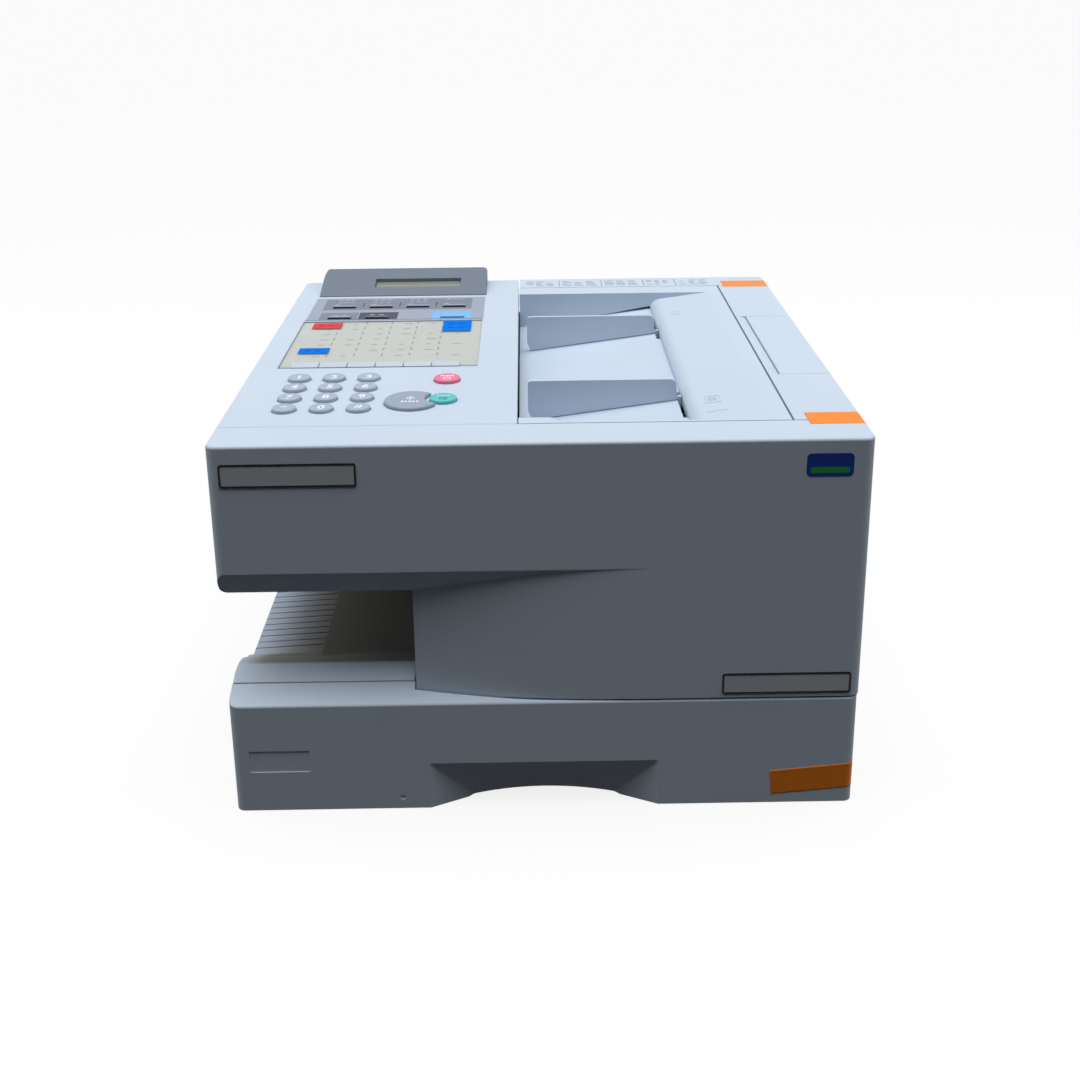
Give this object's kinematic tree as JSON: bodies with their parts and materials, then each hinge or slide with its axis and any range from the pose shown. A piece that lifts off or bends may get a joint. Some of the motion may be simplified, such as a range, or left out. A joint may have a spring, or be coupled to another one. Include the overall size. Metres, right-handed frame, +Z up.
{
  "type": "laser fax machine",
  "caption": "Desktop laser fax with a hinged key panel, sunken document tray with paired guides, side paper bay, access door and front paper cassette.",
  "frame": {"origin": "middle of the footprint, on the surface it stands on", "axes": "+X to the right seen from the front, +Y to the back, +Z up"},
  "size_m": [0.43, 0.44, 0.284],
  "materials": {
    "light_abs": "light grey ABS, fine moulded grain",
    "frame_abs": "warm grey ABS, plain moulded frame",
    "display_grey": "mid grey painted ABS",
    "display_glass": "olive liquid crystal window",
    "clear_sheet": "clear polycarbonate flap with white tabs",
    "key_grey": "mid grey ABS key caps",
    "stop_pink": "pink red ABS key cap",
    "copy_teal": "teal ABS key cap",
    "bar_grey": "grey ABS bar keys",
    "bar_dark": "charcoal ABS bar key",
    "bar_blue": "sky blue ABS bar key",
    "dark_abs": "black engineering plastic",
    "gear_white": "natural acetal",
    "steel": "zinc plated steel sheet and wire",
    "roller_rubber": "black rubber",
    "drum_green": "green coated aluminium drum",
    "board_green": "green circuit board"
  },
  "bodies": {
    "root": {"base_frame": "frame_abs", "feet": "roller_rubber", "front_cover": "light_abs", "left_cover": "light_abs", "bay_wall": "frame_abs", "rear_cover": "light_abs", "cover_screws": "steel", "receiving_tray": "light_abs", "document_tray": "light_abs", "scan_bed": "frame_abs", "image_sensor": "dark_abs", "main_motor": "steel", "toner_cartridge": "dark_abs", "laser_unit": "dark_abs", "fuser_unit": "dark_abs", "main_board": "board_green", "power_supply": "steel"},
    "panel": {"control_panel": "light_abs", "panel_base": "frame_abs", "display_housing": "display_grey", "display_window": "display_glass"},
    "directory": {"directory_cover": "clear_sheet"},
    "cassette": {"cassette_front": "light_abs", "cassette_tray": "frame_abs", "lift_springs": "steel"},
    "lift": {"lift_plate": "steel"},
    "door": {"side_door": "light_abs"},
    "handle": {"door_handle": "light_abs"},
    "guide_front": {"front_guide": "light_abs"},
    "guide_rear": {"rear_guide": "light_abs"},
    "guide_wheel": {"guide_pinion": "gear_white"},
    "switch": {"power_switch": "dark_abs"},
    "drum": {"photo_drum": "drum_green"},
    "transfer": {"transfer_roller": "roller_rubber"},
    "motor_shaft": {"motor_pinion": "gear_white"},
    "exit_shaft": {"exit_roller": "roller_rubber"},
    "pickup_shaft": {"pickup_roller": "roller_rubber"},
    "document_shaft": {"document_roller": "roller_rubber"},
    "key_1": {"key_1": "key_grey"},
    "key_2": {"key_2": "key_grey"},
    "key_3": {"key_3": "key_grey"},
    "key_4": {"key_4": "key_grey"},
    "key_5": {"key_5": "key_grey"},
    "key_6": {"key_6": "key_grey"},
    "key_7": {"key_7": "key_grey"},
    "key_8": {"key_8": "key_grey"},
    "key_9": {"key_9": "key_grey"},
    "key_star": {"key_star": "key_grey"},
    "key_0": {"key_0": "key_grey"},
    "key_hash": {"key_hash": "key_grey"},
    "start_key": {"start_key": "key_grey"},
    "stop_key": {"stop_key": "stop_pink"},
    "copy_key": {"copy_key": "copy_teal"},
    "function_key_1": {"function_key_1": "bar_grey"},
    "function_key_2": {"function_key_2": "bar_grey"},
    "function_key_3": {"function_key_3": "bar_grey"},
    "function_key_4": {"function_key_4": "bar_grey"},
    "function_key_5": {"function_key_5": "bar_grey"},
    "function_key_6": {"function_key_6": "bar_dark"},
    "function_key_7": {"function_key_7": "bar_blue"}
  },
  "joints": [
    {"name": "panel_lift", "type": "hinge", "parent": "root", "child": "panel", "pos_m": [-0.115, 0.209, 0.246], "axis": [-1, 0, 0], "range_deg": [0, 60]},
    {"name": "cassette_slide", "type": "slide", "parent": "root", "child": "cassette", "axis": [0, -1, 0], "range_m": [0, 0.3]},
    {"name": "door_swing", "type": "hinge", "parent": "root", "child": "door", "pos_m": [0.2095, 0, 0.098], "axis": [0, 1, 0], "range_deg": [0, 70]},
    {"name": "handle_lift", "type": "hinge", "parent": "door", "child": "handle", "pos_m": [0.2105, 0, 0.2515], "axis": [0, 1, 0], "range_deg": [0, 20], "stiffness_Nm_per_rad": 0.3, "springref_deg": -17.19},
    {"name": "guide_slide", "type": "slide", "parent": "root", "child": "guide_front", "axis": [0, -1, 0], "range_m": [-0.014, 0.036]},
    {"name": "rear_guide_slide", "type": "slide", "parent": "root", "child": "guide_rear", "axis": [0, 1, 0], "range_m": [-0.0145, 0.0365]},
    {"name": "guide_wheel_turn", "type": "hinge", "parent": "root", "child": "guide_wheel", "pos_m": [0.102, -0.0065, 0.242], "axis": [0, 0, 1], "range_deg": [-265, 105]},
    {"name": "directory_flip", "type": "hinge", "parent": "panel", "child": "directory", "pos_m": [-0.121, 0.081, 0.2688], "axis": [-1, 0, 0], "range_deg": [0, 100]},
    {"name": "lift_press", "type": "hinge", "parent": "cassette", "child": "lift", "pos_m": [-0.06, 0, 0.014], "axis": [0, -1, 0], "range_deg": [-8.5, 0], "stiffness_Nm_per_rad": 8, "springref_deg": 17.19, "deforming": ["lift_springs"]},
    {"name": "switch_rock", "type": "hinge", "parent": "root", "child": "switch", "pos_m": [-0.135, 0.214, 0.112], "axis": [-1, 0, 0], "range_deg": [0, 16]},
    {"name": "drum_turn", "type": "hinge", "parent": "root", "child": "drum", "pos_m": [0.07, 0, 0.1304], "axis": [0, 1, 0], "continuous": true},
    {"name": "transfer_turn", "type": "hinge", "parent": "root", "child": "transfer", "pos_m": [0.07, 0, 0.1104], "axis": [0, 1, 0], "continuous": true},
    {"name": "motor_turn", "type": "hinge", "parent": "root", "child": "motor_shaft", "pos_m": [0.089, 0, 0.1304], "axis": [0, 1, 0], "continuous": true},
    {"name": "exit_turn", "type": "hinge", "parent": "root", "child": "exit_shaft", "pos_m": [-0.076, 0, 0.1112], "axis": [0, 1, 0], "continuous": true},
    {"name": "pickup_turn", "type": "hinge", "parent": "root", "child": "pickup_shaft", "pos_m": [0.165, 0, 0.0674], "axis": [0, 1, 0], "continuous": true},
    {"name": "document_turn", "type": "hinge", "parent": "root", "child": "document_shaft", "pos_m": [-0.08, 0, 0.2287], "axis": [0, 1, 0], "continuous": true},
    {"name": "key_1_press", "type": "slide", "parent": "panel", "child": "key_1", "axis": [0, 0, -1], "range_m": [0, 0.0015], "stiffness_N_per_m": 300, "springref_m": -0.0015},
    {"name": "key_2_press", "type": "slide", "parent": "panel", "child": "key_2", "axis": [0, 0, -1], "range_m": [0, 0.0015], "stiffness_N_per_m": 300, "springref_m": -0.0015},
    {"name": "key_3_press", "type": "slide", "parent": "panel", "child": "key_3", "axis": [0, 0, -1], "range_m": [0, 0.0015], "stiffness_N_per_m": 300, "springref_m": -0.0015},
    {"name": "key_4_press", "type": "slide", "parent": "panel", "child": "key_4", "axis": [0, 0, -1], "range_m": [0, 0.0015], "stiffness_N_per_m": 300, "springref_m": -0.0015},
    {"name": "key_5_press", "type": "slide", "parent": "panel", "child": "key_5", "axis": [0, 0, -1], "range_m": [0, 0.0015], "stiffness_N_per_m": 300, "springref_m": -0.0015},
    {"name": "key_6_press", "type": "slide", "parent": "panel", "child": "key_6", "axis": [0, 0, -1], "range_m": [0, 0.0015], "stiffness_N_per_m": 300, "springref_m": -0.0015},
    {"name": "key_7_press", "type": "slide", "parent": "panel", "child": "key_7", "axis": [0, 0, -1], "range_m": [0, 0.0015], "stiffness_N_per_m": 300, "springref_m": -0.0015},
    {"name": "key_8_press", "type": "slide", "parent": "panel", "child": "key_8", "axis": [0, 0, -1], "range_m": [0, 0.0015], "stiffness_N_per_m": 300, "springref_m": -0.0015},
    {"name": "key_9_press", "type": "slide", "parent": "panel", "child": "key_9", "axis": [0, 0, -1], "range_m": [0, 0.0015], "stiffness_N_per_m": 300, "springref_m": -0.0015},
    {"name": "key_star_press", "type": "slide", "parent": "panel", "child": "key_star", "axis": [0, 0, -1], "range_m": [0, 0.0015], "stiffness_N_per_m": 300, "springref_m": -0.0015},
    {"name": "key_0_press", "type": "slide", "parent": "panel", "child": "key_0", "axis": [0, 0, -1], "range_m": [0, 0.0015], "stiffness_N_per_m": 300, "springref_m": -0.0015},
    {"name": "key_hash_press", "type": "slide", "parent": "panel", "child": "key_hash", "axis": [0, 0, -1], "range_m": [0, 0.0015], "stiffness_N_per_m": 300, "springref_m": -0.0015},
    {"name": "start_key_press", "type": "slide", "parent": "panel", "child": "start_key", "axis": [0, 0, -1], "range_m": [0, 0.0015], "stiffness_N_per_m": 300, "springref_m": -0.0015},
    {"name": "stop_key_press", "type": "slide", "parent": "panel", "child": "stop_key", "axis": [0, 0, -1], "range_m": [0, 0.0015], "stiffness_N_per_m": 300, "springref_m": -0.0015},
    {"name": "copy_key_press", "type": "slide", "parent": "panel", "child": "copy_key", "axis": [0, 0, -1], "range_m": [0, 0.0015], "stiffness_N_per_m": 300, "springref_m": -0.0015},
    {"name": "function_key_1_press", "type": "slide", "parent": "panel", "child": "function_key_1", "axis": [0, 0, -1], "range_m": [0, 0.0015], "stiffness_N_per_m": 300, "springref_m": -0.0015},
    {"name": "function_key_2_press", "type": "slide", "parent": "panel", "child": "function_key_2", "axis": [0, 0, -1], "range_m": [0, 0.0015], "stiffness_N_per_m": 300, "springref_m": -0.0015},
    {"name": "function_key_3_press", "type": "slide", "parent": "panel", "child": "function_key_3", "axis": [0, 0, -1], "range_m": [0, 0.0015], "stiffness_N_per_m": 300, "springref_m": -0.0015},
    {"name": "function_key_4_press", "type": "slide", "parent": "panel", "child": "function_key_4", "axis": [0, 0, -1], "range_m": [0, 0.0015], "stiffness_N_per_m": 300, "springref_m": -0.0015},
    {"name": "function_key_5_press", "type": "slide", "parent": "panel", "child": "function_key_5", "axis": [0, 0, -1], "range_m": [0, 0.0015], "stiffness_N_per_m": 300, "springref_m": -0.0015},
    {"name": "function_key_6_press", "type": "slide", "parent": "panel", "child": "function_key_6", "axis": [0, 0, -1], "range_m": [0, 0.0015], "stiffness_N_per_m": 300, "springref_m": -0.0015},
    {"name": "function_key_7_press", "type": "slide", "parent": "panel", "child": "function_key_7", "axis": [0, 0, -1], "range_m": [0, 0.0015], "stiffness_N_per_m": 300, "springref_m": -0.0015}
  ],
  "couplings": [
    {"joint": "rear_guide_slide", "follows": "guide_slide", "ratio": 1},
    {"joint": "guide_wheel_turn", "follows": "guide_slide", "rad_per_m": -125},
    {"joint": "transfer_turn", "follows": "drum_turn", "ratio": -1.5},
    {"joint": "motor_turn", "follows": "drum_turn", "ratio": -1.7143}
  ]
}
